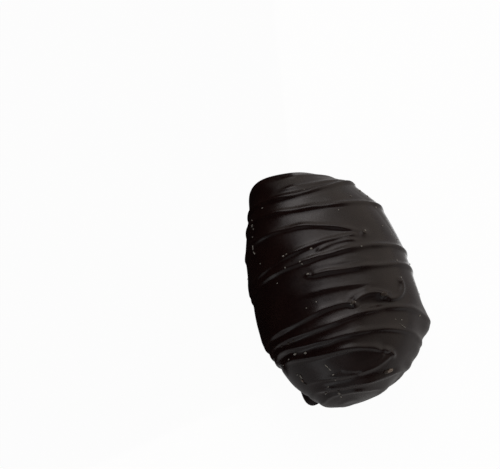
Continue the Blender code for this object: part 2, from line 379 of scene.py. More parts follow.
    def turning(self, turn: TurningString, points: np.ndarray, normals: np.ndarray) -> np.ndarray:
        """The height that one turning string adds.

        Args:
            turn: The string.
            points: Places on the plain egg, in metres.
            normals: The plain egg's unit normals.

        Returns:
            The height at each point, in metres.
        """
        x, y, radius = circle_through(turn.start, turn.middle, turn.end)
        from_x = points[:, 0] - x * MM
        from_y = points[:, 1] - y * MM
        reach = np.hypot(from_x, from_y)
        bearing = np.arctan2(from_y, from_x)
        towards = math.atan2(turn.middle[1] - y, turn.middle[0] - x)
        ends = [math.atan2(place[1] - y, place[0] - x) - towards for place in (turn.start, turn.end)]
        ends = [(end + math.pi) % (2 * math.pi) - math.pi for end in ends]
        along = (bearing - towards + math.pi) % (2 * math.pi) - math.pi
        past_low = (along - min(ends)) * radius * MM
        past_high = (max(ends) - along) * radius * MM
        inside = smooth_step(past_low / self.nub_radius + self.nub_lead)
        inside *= smooth_step(past_high / self.nub_radius + self.nub_lead)
        across = (reach - radius * MM) * np.where(from_y >= 0, 1.0, -1.0)
        safe = np.maximum(reach, MM)
        flat = self.on_slope(across, from_x / safe, from_y / safe, normals)
        return turn.height * MM * inside * self.profile(flat, turn.lap * MM)

    def relief(self, points: np.ndarray, normals: np.ndarray) -> np.ndarray:
        """Everything that the lacing adds.

        Args:
            points: Places on the plain egg, in metres.
            normals: The plain egg's unit normals.

        Returns:
            The height along the normal at each point, in metres.
        """
        moved = points.copy()
        moved[:, 1] += self.wander * drift(points, self.wander_length, self.wander_shift)
        heights = [self.crossing(i, string, moved, normals) for i, string in enumerate(self.strings)]
        heights += [self.turning(turn, moved, normals) for turn in self.turns]
        heights += [nub.relief(points) for nub in self.nubs]
        laced = np.sum(np.array(heights) ** self.blend, axis=0) ** (1 / self.blend)
        fade = smooth_step((points[:, 2] - self.fade_from) / (self.fade_to - self.fade_from))
        fade *= self.side_share + (1 - self.side_share) * smooth_step(normals[:, 2] / self.side_tilt)
        sunk = sum(hollow.relief(points) for hollow in self.hollows)
        pooled = sum(pool.relief(points) for pool in self.pools)
        return laced * (self.base_share + (1 - self.base_share) * fade) + sunk + pooled


def circle_through(start: Place, middle: Place, end: Place) -> tuple[float, float, float]:
    """The circle through three places.

    Args:
        start: The first place.
        middle: The second place.
        end: The third place.

    Returns:
        The centre's two coordinates and the radius, in the places' unit.
    """
    ax, ay = start
    bx, by = middle
    cx, cy = end
    twice = 2 * (ax * (by - cy) + bx * (cy - ay) + cx * (ay - by))
    first, second, third = ax * ax + ay * ay, bx * bx + by * by, cx * cx + cy * cy
    x = (first * (by - cy) + second * (cy - ay) + third * (ay - by)) / twice
    y = (first * (cx - bx) + second * (ax - cx) + third * (bx - ax)) / twice
    return x, y, math.hypot(ax - x, ay - y)


@dataclass
class Foot:
    """The foot of chocolate that ran out a little on the tray, with one larger drip."""

    height: float = 1.5 * MM
    spread: float = 0.5 * MM
    wave: float = 0.3 * MM
    bumps: tuple[tuple[int, float, float], ...] = ((5, 0.6, 1.0), (9, 2.1, 0.6))
    lumps: tuple[Lump, ...] = (
        Lump((-6.4, -19.3), (3.4, 3.4), 5.6),
        Lump((-17.0, 12.0), (5.0, 5.0), 0.7),
        Lump((12.0, 28.0), (5.0, 5.0), 0.6),
    )

    def outwards(self, points: np.ndarray) -> np.ndarray:
        """How far the foot runs outwards.

        Args:
            points: Places on the coat, in metres.

        Returns:
            The distance at each point, in metres.
        """
        low = np.exp(-((points[:, 2] / self.height) ** 2))
        bearing = np.arctan2(points[:, 1], points[:, 0])
        waves = sum(share * np.sin(count * bearing + start) for count, start, share in self.bumps)
        lumps = sum(lump.relief(points) for lump in self.lumps)
        return low * (self.spread + self.wave * waves + lumps)


@dataclass
class Coat:
    """The egg's whole chocolate coat, as one closed mesh."""

    centre: Centre = field(default_factory=Centre)
    lacing: Lacing = field(default_factory=Lacing)
    foot: Foot = field(default_factory=Foot)
    rings: int = 340
    segments: int = 300
    top_density: float = 0.3
    ring_spread: float = 0.35
    ring_lean: float = 0.09
    wave: float = 0.22 * MM
    long_wave: tuple[float, float, float] = (0.21, 0.13, 0.4)
    cross_wave: tuple[float, float, float] = (-0.09, 0.16, 1.1)
    short_wave: tuple[float, float, float] = (0.47, -0.31, 2.0)
    short_share: float = 0.4
    sharp_edge: float = math.radians(60)
    on_tray: float = 2e-6

    def one_wave(self, points: np.ndarray, rates: tuple[float, float, float]) -> np.ndarray:
        """A wave over the plan, from -1 to 1: its rates for each mm along x and y, and its start."""
        along_x, along_y, start = rates
        return np.sin(along_x * points[:, 0] / MM + along_y * points[:, 1] / MM + start)

    def waves(self, points: np.ndarray) -> np.ndarray:
        """Slow unevenness of the dipped coat, in metres."""
        slow = self.one_wave(points, self.long_wave) * self.one_wave(points, self.cross_wave)
        return self.wave * (slow + self.short_share * self.one_wave(points, self.short_wave))

    def directions(self, ball: np.ndarray) -> np.ndarray:
        """Spreads a ball's vertices evenly along Y, and leans its rings with the strings.

        Args:
            ball: The vertices of a round ball, one a row.

        Returns:
            Their unit directions.
        """
        sine = np.clip(ball[:, 1], -1.0, 1.0)
        even = np.arcsin(sine) / (math.pi / 2)
        spread = (1 - self.ring_spread) * sine + self.ring_spread * even
        girth = np.sqrt(np.maximum(1 - spread * spread, 0.0))
        around = np.arctan2(ball[:, 0], ball[:, 2])
        around -= self.top_density * np.sin(around)
        directions = np.stack([np.sin(around) * girth, spread, np.cos(around) * girth], 1)
        directions[:, 1] += self.ring_lean * directions[:, 0]
        return directions / np.linalg.norm(directions, axis=1)[:, None]

    def build(self) -> tuple[bpy.types.Object, Vector]:
        """Makes the coat.

        Returns:
            The coat's object, and how far the egg was moved to stand over the origin.
        """
        bm = bmesh.new()
        poles_along_y = Matrix.Rotation(math.radians(-90), 4, "X")
        bmesh.ops.create_uvsphere(
            bm, u_segments=self.segments, v_segments=self.rings, radius=1.0, matrix=poles_along_y
        )
        move_to(bm, self.centre.surface(self.directions(coordinates(bm))))
        points = coordinates(bm)
        normals = np.array([v.normal[:] for v in bm.verts])
        height = self.waves(points) + self.lacing.relief(points, normals)
        move_to(bm, points + normals * height[:, None])
        cut_flat(bm, self.on_tray)
        points = coordinates(bm)
        reach = np.maximum(np.hypot(points[:, 0], points[:, 1]), MM)
        points[:, :2] += points[:, :2] / reach[:, None] * self.foot.outwards(points)[:, None]
        low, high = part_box("egg")
        middle = (Vector(points.min(axis=0)) + Vector(points.max(axis=0))) / 2
        shift = (low + high) / 2 - middle
        shift.z = 0.0
        move_to(bm, points + np.array(shift))
        bmesh.ops.recalc_face_normals(bm, faces=bm.faces)
        coat = piece_from(bm, "egg_coat")
        coat.data.shade_smooth()
        coat.data.set_sharp_from_angle(angle=self.sharp_edge)
        return coat, shift

    def dress(self, coat: bpy.types.Object, effects: Groups) -> None:
        """Gives the coat its finish and lets it stand for the solid.

        Args:
            coat: The coat's object.
            effects: The shared shader groups, by name.
        """
        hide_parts("egg")
        finish_piece(coat, DARK_CHOCOLATE, effects)


def put_in_scene(name: str, data: bpy.types.ID) -> bpy.types.Object:
    """Makes an object of a mesh, light or camera, and puts it in the scene.

    Args:
        name: The object's name.
        data: The mesh, light or camera.

    Returns:
        The object.
    """
    made = bpy.data.objects.new(name, data)
    bpy.context.scene.collection.objects.link(made)
    return made


def piece_from(bm: bmesh.types.BMesh, name: str) -> bpy.types.Object:
    """Makes an object of a mesh that is ready, and frees the mesh.

    Args:
        bm: The mesh.
        name: The object's name.

    Returns:
        The object.
    """
    mesh = bpy.data.meshes.new(name)
    bm.to_mesh(mesh)
    bm.free()
    return put_in_scene(name, mesh)


def coordinates(bm: bmesh.types.BMesh) -> np.ndarray:
    """The mesh's vertices, one a row."""
    return np.array([v.co[:] for v in bm.verts])


def move_to(bm: bmesh.types.BMesh, points: np.ndarray) -> None:
    """Moves a mesh's vertices.

    Args:
        bm: The mesh.
        points: Their new places, one a row.
    """
    for vertex, point in zip(bm.verts, points):
        vertex.co = point
    bm.normal_update()


def cut_flat(bm: bmesh.types.BMesh, on_tray: float) -> None:
    """Cuts the egg off at the tray and closes it with one flat face.

    Args:
        bm: The egg's mesh.
        on_tray: Vertices closer to the tray than this, in metres, are put on it.
    """
    geometry = list(bm.verts) + list(bm.edges) + list(bm.faces)
    cut = bmesh.ops.bisect_plane(
        bm, geom=geometry, dist=TOUCHING, plane_co=(0, 0, 0), plane_no=UP, clear_inner=True
    )
    rim = [piece for piece in cut["geom_cut"] if isinstance(piece, bmesh.types.BMEdge)]
    bmesh.ops.edgenet_fill(bm, edges=rim)
    for vertex in bm.verts:
        if abs(vertex.co.z) < on_tray:
            vertex.co.z = 0.0


class CrumbKind(Enum):
    """What a crumb in the coat is, with the name of the piece that such crumbs make up."""

    PEANUT = "peanut_crumbs"
    # Pale flecks: partly real crumbs and partly painted glints, pale lumps where tiny bubbles catch the
    # light.
    PALE_FLECK_AND_GLINT = "pale_specks_and_painted_glints"
    COATED = "coated_crumbs"


@dataclass(frozen=True)
class Crumb:
    """One crumb: its place in plan, its length, width and height in mm, its turn in degrees, its kind."""

    place: Place
    size: tuple[float, float, float]
    turn: float = 0.0
    kind: CrumbKind = CrumbKind.PALE_FLECK_AND_GLINT


@dataclass
class Crumbs:
    """The crumbs and flecks caught in the coat: the ones seen on top, and a few more on the walls.
    Some of the pale flecks on top are painted glints, which stand in for light caught by tiny bubbles.

    The sizes and the aims of those on the walls are in mm. The height that rays drop from is in
    metres.
    """

    fineness: int = 2
    roughness: float = 0.30
    grain: float = 2.6
    own_steps: Direction = (3.7, 1.9, 5.3)
    sunk: float = 0.40
    drop_from: float = 60.0 * MM
    wall_flecks: int = 30
    wall_seed: int = 11
    wall_size: Limits = (0.25, 0.55)
    wall_lift: Limits = (-0.15, 0.75)
    wall_stretch: Limits = (1.0, 1.8)
    wall_flatness: float = 0.8
    wall_aim: Limits = (-12.0, 16.0)
    wall_aim_height: float = 11.0
    shown_side: Direction = (-0.077, -0.333, 0.940)
    shown_limit: float = 0.55
    laid: tuple[Crumb, ...] = (
        Crumb((11.8, -22.4), (2.3, 0.9, 0.9), 15.0, CrumbKind.PEANUT),
        Crumb((10.7, -22.8), (1.3, 0.9, 0.8), 20.0, CrumbKind.COATED),
        Crumb((-10.8, -21.5), (1.2, 0.4, 0.5), -75.0),
        Crumb((-10.5, -22.3), (1.1, 0.4, 0.5), -65.0, CrumbKind.PEANUT),
        Crumb((-9.8, -23.1), (1.0, 0.4, 0.5), -35.0, CrumbKind.COATED),
        Crumb((-12.0, -16.9), (1.0, 0.6, 0.6), 20.0),
        Crumb((-9.5, -17.4), (0.8, 0.5, 0.5), 10.0),
        Crumb((-13.6, -17.4), (0.5, 0.4, 0.4)),
        Crumb((-15.1, -14.1), (0.9, 0.5, 0.5), 20.0, CrumbKind.COATED),
        Crumb((-13.4, -14.2), (1.0, 0.5, 0.5), 30.0, CrumbKind.COATED),
        Crumb((-12.2, -14.0), (0.8, 0.5, 0.5), 25.0, CrumbKind.COATED),
        Crumb((-4.5, -21.2), (1.5, 0.24, 0.3), -48.0),
        Crumb((-3.7, -22.1), (0.8, 0.26, 0.3), -45.0),
        Crumb((-3.0, -23.3), (0.5, 0.35, 0.3)),
        Crumb((-2.5, -24.4), (0.4, 0.3, 0.3)),
        Crumb((-11.7, -20.8), (0.5, 0.4, 0.4)),
        Crumb((-4.3, -25.4), (0.45, 0.4, 0.35)),
        Crumb((-1.6, -26.9), (0.8, 0.45, 0.45), -40.0),
        Crumb((-1.1, -27.4), (0.8, 0.3, 0.4), -65.0),
        Crumb((-4.9, -26.3), (0.55, 0.4, 0.4)),
        Crumb((2.7, 19.6), (0.4, 0.35, 0.3)),
        Crumb((6.5, 24.1), (0.5, 0.35, 0.3)),
        Crumb((13.9, 15.4), (0.4, 0.3, 0.3)),
        Crumb((-16.7, 23.8), (0.5, 0.4, 0.35)),
        Crumb((8.9, 13.0), (0.6, 0.45, 0.4)),
        Crumb((7.3, 8.3), (0.5, 0.4, 0.4)),
        Crumb((-5.6, 8.8), (0.7, 0.5, 0.45), 10.0),
        Crumb((-12.8, 7.9), (0.6, 0.5, 0.4)),
        Crumb((-12.0, 8.2), (0.6, 0.3, 0.3), 15.0),
        Crumb((-8.8, 5.5), (0.5, 0.35, 0.3), 40.0),
        Crumb((-8.3, 4.9), (0.5, 0.3, 0.3), -30.0),
        Crumb((-12.6, 4.6), (0.5, 0.4, 0.35)),
        Crumb((-14.9, 1.3), (0.4, 0.3, 0.3)),
        Crumb((-7.1, 2.0), (0.7, 0.55, 0.5)),
        Crumb((-5.7, -5.6), (0.5, 0.35, 0.3)),
        Crumb((-8.3, -6.8), (0.4, 0.35, 0.3)),
        Crumb((14.2, -10.7), (0.4, 0.3, 0.3)),
        Crumb((15.8, -10.6), (0.45, 0.35, 0.3)),
        Crumb((16.0, -12.1), (2.2, 0.16, 0.25), -25.0),
        Crumb((3.5, -6.9), (1.4, 0.9, 0.5), 30.0, CrumbKind.COATED),
        Crumb((3.0, -7.3), (0.6, 0.4, 0.4), 20.0),
        Crumb((4.0, -6.8), (0.6, 0.35, 0.4), -20.0),
        Crumb((11.6, -4.9), (2.0, 1.3, 0.4), 10.0, CrumbKind.COATED),
        Crumb((8.7, 12.6), (1.3, 1.1, 0.3), kind=CrumbKind.COATED),
        # Painted glints: this chain of pale flecks along the left edge stands in for sparkles of light
        # there.
        Crumb((-19.6, 21.6), (0.5, 0.35, 0.35), 80.0),
        Crumb((-19.7, 20.0), (0.9, 0.6, 0.45), 40.0),
        Crumb((-19.5, 18.8), (0.5, 0.35, 0.3), -70.0),
        Crumb((-19.9, 16.4), (0.4, 0.3, 0.3)),
        Crumb((-20.1, 13.4), (1.5, 0.35, 0.35), 70.0),
        Crumb((-19.9, 11.9), (1.3, 0.35, 0.35), -50.0),
        Crumb((-18.6, 8.2), (0.4, 0.3, 0.3)),
    )

    def seat(self, point: Vector, normal: Vector, crumb: Crumb) -> Matrix:
        """Where a crumb's own middle and axes go.

        Args:
            point: The place on the coat.
            normal: The coat's direction there.
            crumb: The crumb.

        Returns:
            The matrix from the crumb's own space to the egg's.
        """
        middle = point + normal * crumb.size[2] * MM * (0.5 - self.sunk)
        upright = UP.rotation_difference(normal).to_matrix().to_4x4()
        turned = Matrix.Rotation(math.radians(crumb.turn), 4, "Z")
        return Matrix.Translation(middle) @ upright @ turned

    def add(self, bm: bmesh.types.BMesh, crumb: Crumb, seat: Matrix, number: int) -> None:
        """Adds one rough lump to a mesh.

        Args:
            bm: The mesh of all crumbs of the kind.
            crumb: The crumb.
            seat: Where its middle and axes go.
            number: Its number, which makes its shape its own.
        """
        made = bmesh.ops.create_icosphere(bm, subdivisions=self.fineness, radius=0.5)
        size = Matrix.Diagonal((*(side * MM for side in crumb.size), 1.0))
        own = Vector([number * step for step in self.own_steps])
        for vertex in made["verts"]:
            rough = 1 + self.roughness * noise.noise(vertex.co * self.grain + own)
            vertex.co = seat @ size @ (vertex.co * rough)

    def on_walls(self) -> list[tuple[Vector, Vector, Crumb]]:
        """Draws a few flecks all round the egg.

        Returns:
            For each a ray's start and direction, and the fleck.
        """
        chance = random.Random(self.wall_seed)
        rays = []
        for _ in range(self.wall_flecks):
            bearing = chance.uniform(0, 2 * math.pi)
            lift = chance.uniform(*self.wall_lift)
            out = Vector((math.cos(bearing), math.sin(bearing), lift)).normalized()
            side = chance.uniform(*self.wall_size)
            size = (side * chance.uniform(*self.wall_stretch), side, side * self.wall_flatness)
            aim = Vector((0, chance.uniform(*self.wall_aim) * MM, self.wall_aim_height * MM))
            fleck = Crumb((0.0, 0.0), size, chance.uniform(0, HALF_TURN))
            rays.append((aim + out * self.drop_from, -out, fleck))
        return rays

    def build(self, coat: bpy.types.Object, shift: Vector) -> dict[CrumbKind, bpy.types.Object]:
        """Makes one joined piece of each kind of crumb.

        Args:
            coat: The egg's coat, which carries them.
            shift: How far the egg was moved to stand over the origin.

        Returns:
            The piece of each kind.
        """
        vertices = [vertex.co for vertex in coat.data.vertices]
        surface = BVHTree.FromPolygons(vertices, [face.vertices for face in coat.data.polygons])
        above = []
        for crumb in self.laid:
            x, y = crumb.place
            above.append((Vector((x * MM, y * MM, self.drop_from)) + shift, -UP, crumb))
        meshes = {kind: bmesh.new() for kind in CrumbKind}
        for number, (start, towards, crumb) in enumerate(above + self.on_walls()):
            point, normal, *_ = surface.ray_cast(start, towards)
            seen = point is not None and normal.dot(Vector(self.shown_side)) > self.shown_limit
            if point is None or (seen and number >= len(above)):
                continue
            self.add(meshes[crumb.kind], crumb, self.seat(point, normal, crumb), number)
        pieces = {kind: piece_from(bm, kind.value) for kind, bm in meshes.items()}
        for piece in pieces.values():
            piece.data.shade_smooth()
        return pieces

    def dress(self, pieces: dict[CrumbKind, bpy.types.Object], effects: Groups) -> None:
        """Gives each kind of crumb its finish.

        Args:
            pieces: The piece of each kind.
            effects: The shared shader groups, by name.
        """
        for kind, piece in pieces.items():
            finish_piece(piece, CRUMB_FINISHES[kind], effects)


def shader_group(name: str, inputs: dict[str, str], outputs: dict[str, str]) -> bpy.types.NodeTree:
    """Starts a shader group.

    Args:
        name: The group's name.
        inputs: The type of each input socket, by name.
        outputs: The type of each output socket, by name.

    Returns:
        The group, with its input and output nodes in it.
    """
    group = bpy.data.node_groups.new(name, "ShaderNodeTree")
    for socket, kind in inputs.items():
        group.interface.new_socket(socket, in_out="INPUT", socket_type=kind)
    for socket, kind in outputs.items():
        group.interface.new_socket(socket, in_out="OUTPUT", socket_type=kind)
    group.nodes.new("NodeGroupInput")
    group.nodes.new("NodeGroupOutput")
    return group


def smooth_range(
    tree: bpy.types.NodeTree, value: bpy.types.NodeSocket, limits: Limits, ends: Limits
) -> bpy.types.NodeSocket:
    """A smooth rise or fall of one value with another.

    Args:
        tree: The node tree that it stands in.
        value: The socket with the values.
        limits: Where it starts and ends.
        ends: The result there.

    Returns:
        The socket with the result.
    """
    rise = tree.nodes.new("ShaderNodeMapRange")
    rise.interpolation_type = "SMOOTHSTEP"
    rise.inputs["From Min"].default_value, rise.inputs["From Max"].default_value = limits
    rise.inputs["To Min"].default_value, rise.inputs["To Max"].default_value = ends
    tree.links.new(value, rise.inputs["Value"])
    return rise.outputs["Result"]


@dataclass(frozen=True)
class Clouds:
    """Cloudy noise: how many times finer than the effect's size it is, and its finer layers."""

    factor: float
    detail: float


@dataclass
class Effects:
    """The effects that the finishes share, as shader groups."""

    patch_clouds: tuple[Clouds, Clouds] = (Clouds(1.0, 2.0), Clouds(5.5, 3.0))
    smudge_clouds: tuple[Clouds, Clouds] = (Clouds(0.8, 2.0), Clouds(11.0, 2.0))
    ripple_clouds: tuple[Clouds, Clouds] = (Clouds(1.0, 1.0), Clouds(4.0, 2.0))
    fine_share: float = 0.35
    ripple_share: float = 0.25
    patch_range: Limits = (0.34, 0.68)
    smudge_range: Limits = (0.36, 0.66)
    tree: bpy.types.NodeTree | None = None

    def clouds(self, size: bpy.types.NodeSocket, kind: Clouds) -> bpy.types.NodeSocket:
        """Cloudy noise in the current group.

        Args:
            size: The socket with the effect's size, in metres.
            kind: What the noise is like.

        Returns:
            The socket with the noise.
        """
        place = self.tree.nodes.new("ShaderNodeTexCoord")
        scale = self.tree.nodes.new("ShaderNodeMath")
        scale.operation = "DIVIDE"
        scale.inputs[0].default_value = kind.factor
        self.tree.links.new(size, scale.inputs[1])
        clouds = self.tree.nodes.new("ShaderNodeTexNoise")
        clouds.inputs["Detail"].default_value = kind.detail
        self.tree.links.new(place.outputs["Object"], clouds.inputs["Vector"])
        self.tree.links.new(scale.outputs["Value"], clouds.inputs["Scale"])
        return clouds.outputs["Fac"]

    def layered(
        self, size: bpy.types.NodeSocket, layers: tuple[Clouds, Clouds], share: float
    ) -> bpy.types.NodeSocket:
        """Coarse noise with a share of fine noise in it.

        Args:
            size: The socket with the effect's size, in metres.
            layers: The coarse noise and the fine noise.
            share: The fine noise's share.

        Returns:
            The socket with both.
        """
        coarse, fine = (self.clouds(size, layer) for layer in layers)
        both = self.tree.nodes.new("ShaderNodeMix")
        both.data_type = "FLOAT"
        both.inputs["Factor"].default_value = share
        self.tree.links.new(coarse, both.inputs["A"])
        self.tree.links.new(fine, both.inputs["B"])
        return both.outputs["Result"]

    def mottling(self) -> bpy.types.NodeTree:
        """Makes the group that mixes two colours in soft patches with finer ones in them.

        Returns:
            The group.
        """
        sockets = {"Dark": "NodeSocketColor", "Light": "NodeSocketColor", "Patch Size": "NodeSocketFloat"}
        self.tree = shader_group("mottling", sockets, {"Color": "NodeSocketColor"})
        given = self.tree.nodes["Group Input"].outputs
        patches = self.layered(given["Patch Size"], self.patch_clouds, self.fine_share)
        share = smooth_range(self.tree, patches, self.patch_range, (0.0, 1.0))
        colour = self.tree.nodes.new("ShaderNodeMix")
        colour.data_type = "RGBA"
        self.tree.links.new(share, colour.inputs["Factor"])
        self.tree.links.new(given["Dark"], colour.inputs[MIX_COLOUR_A])
        self.tree.links.new(given["Light"], colour.inputs[MIX_COLOUR_B])
        mixed = colour.outputs[MIX_COLOUR_RESULT]
        self.tree.links.new(mixed, self.tree.nodes["Group Output"].inputs["Color"])
        return self.tree

    def smudges(self) -> bpy.types.NodeTree:
        """Makes the group whose roughness wanders between two values, as handling leaves it.

        Returns:
            The group.
        """
        sockets = dict.fromkeys(("Smooth", "Dull", "Patch Size"), "NodeSocketFloat")
        self.tree = shader_group("smudges", sockets, {"Roughness": "NodeSocketFloat"})
        given = self.tree.nodes["Group Input"].outputs
        smudged = self.layered(given["Patch Size"], self.smudge_clouds, self.fine_share)
        share = smooth_range(self.tree, smudged, self.smudge_range, (0.0, 1.0))
        between = self.tree.nodes.new("ShaderNodeMix")
        between.data_type = "FLOAT"
        self.tree.links.new(share, between.inputs["Factor"])
        self.tree.links.new(given["Smooth"], between.inputs["A"])
        self.tree.links.new(given["Dull"], between.inputs["B"])
        mixed = between.outputs["Result"]
        self.tree.links.new(mixed, self.tree.nodes["Group Output"].inputs["Roughness"])
        return self.tree

    def ripples(self) -> bpy.types.NodeTree:
        """Makes the group for fine relief: soft ripples with a finer grain in them.

        Returns:
            The group.
        """
        sockets = {"Ripple Size": "NodeSocketFloat"}
        self.tree = shader_group("ripples", sockets, {"Height": "NodeSocketFloat"})
        given = self.tree.nodes["Group Input"].outputs
        height = self.layered(given["Ripple Size"], self.ripple_clouds, self.ripple_share)
        self.tree.links.new(height, self.tree.nodes["Group Output"].inputs["Height"])
        return self.tree

    def make(self) -> Groups:
        """Makes all three groups, by name."""
        return {group.name: group for group in (self.mottling(), self.smudges(), self.ripples())}


@dataclass(frozen=True)
class Finish:
    """One finish: two mottled colours, a smudged shine and a fine relief, with sizes in metres."""

    name: str
    dark: Colour
    light: Colour
    patch_size: float
    smooth: float
    dull: float
    ripple_size: float
    ripple_height: float

    def make(self, effects: Groups) -> bpy.types.Material:
        """Builds the material.

        Args:
            effects: The shared shader groups, by name.

        Returns:
            The material.
        """
        material = bpy.data.materials.new(self.name)
        material.use_nodes = True
        tree = material.node_tree
        surface = tree.nodes["Principled BSDF"]
        nodes = {}
        for name, group in effects.items():
            nodes[name] = tree.nodes.new("ShaderNodeGroup")
            nodes[name].node_tree = group
        nodes["mottling"].inputs["Dark"].default_value = (*self.dark, 1.0)
        nodes["mottling"].inputs["Light"].default_value = (*self.light, 1.0)
        nodes["mottling"].inputs["Patch Size"].default_value = self.patch_size
        nodes["smudges"].inputs["Smooth"].default_value = self.smooth
        nodes["smudges"].inputs["Dull"].default_value = self.dull
        nodes["smudges"].inputs["Patch Size"].default_value = self.patch_size
        nodes["ripples"].inputs["Ripple Size"].default_value = self.ripple_size
        bump = tree.nodes.new("ShaderNodeBump")
        bump.inputs["Strength"].default_value = 1.0
        bump.inputs["Distance"].default_value = self.ripple_height
        tree.links.new(nodes["mottling"].outputs["Color"], surface.inputs["Base Color"])
        tree.links.new(nodes["smudges"].outputs["Roughness"], surface.inputs["Roughness"])
        tree.links.new(nodes["ripples"].outputs["Height"], bump.inputs["Height"])
        tree.links.new(bump.outputs["Normal"], surface.inputs["Normal"])
        return material


DARK_CHOCOLATE = Finish(
    "dark_chocolate",
    dark=(0.0125, 0.0040, 0.0037),
    light=(0.0190, 0.0068, 0.0058),
    patch_size=6.0 * MM,
    smooth=0.26,
    dull=0.34,
    ripple_size=2.2 * MM,
    ripple_height=0.035 * MM,
)
CRUMB_FINISHES = {
    CrumbKind.PEANUT: Finish(
        "peanut",
        dark=(0.19, 0.125, 0.095),
        light=(0.55, 0.49, 0.43),
        patch_size=0.7 * MM,
        smooth=0.45,
        dull=0.70,
        ripple_size=0.4 * MM,
        ripple_height=0.06 * MM,
    ),
    # One pale colour for both the crumbs and the painted glints.
    CrumbKind.PALE_FLECK_AND_GLINT: Finish(
        "pale_speck_and_painted_glint",
        dark=(0.26, 0.235, 0.205),
        light=(0.50, 0.475, 0.43),
        patch_size=0.4 * MM,
        smooth=0.40,
        dull=0.65,
        ripple_size=0.3 * MM,
        ripple_height=0.04 * MM,
    ),
    CrumbKind.COATED: Finish(
        "coated_crumb",
        dark=(0.030, 0.017, 0.013),
        light=(0.075, 0.055, 0.042),
        patch_size=0.6 * MM,
        smooth=0.30,
        dull=0.50,
        ripple_size=0.5 * MM,
        ripple_height=0.05 * MM,
    ),
}


def finish_piece(piece: bpy.types.Object, finish: Finish, effects: Groups) -> None:
    """Gives a piece its material and its body, and reports it.

    Args:
        piece: The piece.
        finish: Its finish.
        effects: The shared shader groups, by name.
    """
    piece.data.materials.append(finish.make(effects))
    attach(piece, "root")
    LOG.info("%s: %d faces", piece.name, len(piece.data.polygons))


@dataclass(frozen=True)
class Softbox:
    """A soft light that faces the egg.

    Its bearing goes from the back (+Y) towards the right (+X) and its rise up from the floor, in
    degrees. Its sides are in metres, and a radiance of 1 is as bright as white paper.
    """

    name: str
    bearing: float
    rise: float
    sides: tuple[float, float]
    radiance: float
    tint: Colour

    def hang(self, distance: float) -> None:
        """Hangs the light.

        Args:
            distance: How far from the egg it hangs, in metres.
        """
        turn, lift = math.radians(self.bearing), math.radians(self.rise)
        level = math.cos(lift)
        place = Vector((math.sin(turn) * level, math.cos(turn) * level, math.sin(lift))) * distance
        light = bpy.data.lights.new(self.name, "AREA")
        light.shape = "RECTANGLE"
        light.size, light.size_y = self.sides
        light.energy = self.radiance * math.pi * self.sides[0] * self.sides[1]
        light.color = self.tint
        hung = put_in_scene(self.name, light)
        hung.location = place
        hung.rotation_euler = (-place).to_track_quat("-Z", "Y").to_euler()


@dataclass(frozen=True)
class Card:
    """A card on the floor, which only the coat's shine shows: its corners in mm, and its glow.

    A glow of 1 is as bright as white paper. One that is a shade also keeps the floor's light off.
    """

    name: str
    corners: tuple[Place, ...]
    glow: float = 0.0
    shade: bool = False

    def lay(self, lift: float, colour: Colour) -> None:
        """Lays the card.

        Args:
            lift: How high above the floor it lies, in metres.
            colour: Its colour.
        """
        bm = bmesh.new()
        bm.faces.new([bm.verts.new((x * MM, y * MM, lift)) for x, y in self.corners])
        card = piece_from(bm, self.name)
        surface = bare_material(card)
        surface.inputs["Base Color"].default_value = (*colour, 1.0)
        surface.inputs["Roughness"].default_value = 1.0
        surface.inputs["Specular IOR Level"].default_value = 0.0
        surface.inputs["Emission Color"].default_value = WHITE
        surface.inputs["Emission Strength"].default_value = self.glow
        card.visible_camera = False
        card.visible_shadow = False
        card.visible_diffuse = self.shade


def bare_material(piece: bpy.types.Object) -> bpy.types.Node:
    """Gives a piece a new material of its own name.

    Args:
        piece: The piece.

    Returns:
        The material's Principled shader.
    """
    material = bpy.data.materials.new(piece.name)
    material.use_nodes = True
    piece.data.materials.append(material)
    return material.node_tree.nodes["Principled BSDF"]


